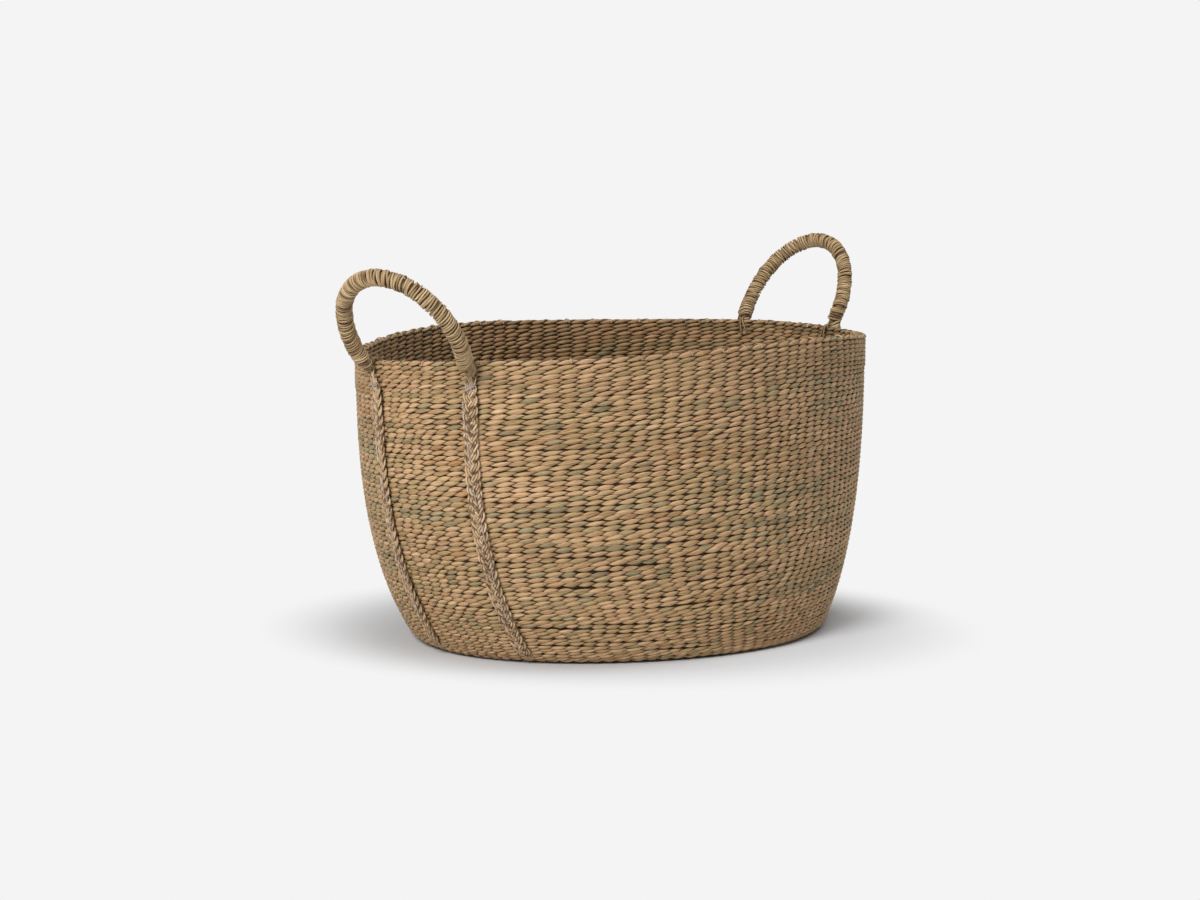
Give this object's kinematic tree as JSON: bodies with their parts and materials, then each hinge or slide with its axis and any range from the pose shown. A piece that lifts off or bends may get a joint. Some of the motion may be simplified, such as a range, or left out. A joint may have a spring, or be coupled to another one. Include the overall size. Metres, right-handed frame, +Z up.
{
  "type": "magazine basket",
  "caption": "Oval woven seagrass basket with flared ends, a thicker rim band, flat braids down the ends and a wound rope handle at each end.",
  "frame": {"origin": "centre of the underside, on the floor, under the middle of the overall size", "axes": "+Z up, +X along the long axis towards the right handle, +Y towards the back long side"},
  "size_m": [0.6512, 0.3524, 0.3123],
  "materials": {
    "weave": "twined seagrass, dry and matt",
    "rim": "thicker twined seagrass",
    "braid": "flat braided seagrass",
    "rope": "twisted seagrass rope",
    "winding": "wound seagrass strand",
    "tie": "single seagrass strand",
    "thread": "pale sewing thread, slightly glossy"
  },
  "bodies": {
    "basket": {"base_weave": "weave", "wall_weave": "weave", "rim_band": "rim", "rim_border": "rim", "braid_front": "braid", "braid_back": "braid", "foot_core_left_front": "rope", "foot_core_left_back": "rope", "foot_core_right_front": "rope", "foot_core_right_back": "rope", "foot_winding_left_front": "winding", "foot_winding_left_back": "winding", "foot_winding_right_front": "winding", "foot_winding_right_back": "winding", "foot_tie_left_front": "tie", "foot_tie_left_back": "tie", "foot_tie_right_front": "tie", "foot_tie_right_back": "tie", "braid_tie_left_front": "thread", "braid_tie_left_back": "thread", "braid_tie_right_front": "thread", "braid_tie_right_back": "thread", "braid_thread_left_front": "thread", "braid_thread_left_back": "thread", "braid_thread_right_front": "thread", "braid_thread_right_back": "thread"},
    "left_handle": {"handle_core_left": "rope", "handle_winding_left": "winding"},
    "right_handle": {"handle_core_right": "rope", "handle_winding_right": "winding"}
  },
  "joints": [
    {"name": "left_handle_tilt", "type": "hinge", "parent": "basket", "child": "left_handle", "pos_m": [-0.27391, 0, 0.248], "axis": [0, 1, 0], "range_deg": [-22, 68], "stiffness_Nm_per_rad": 0.6},
    {"name": "right_handle_tilt", "type": "hinge", "parent": "basket", "child": "right_handle", "pos_m": [0.27391, 0, 0.248], "axis": [0, -1, 0], "range_deg": [-22, 68], "stiffness_Nm_per_rad": 0.6}
  ]
}
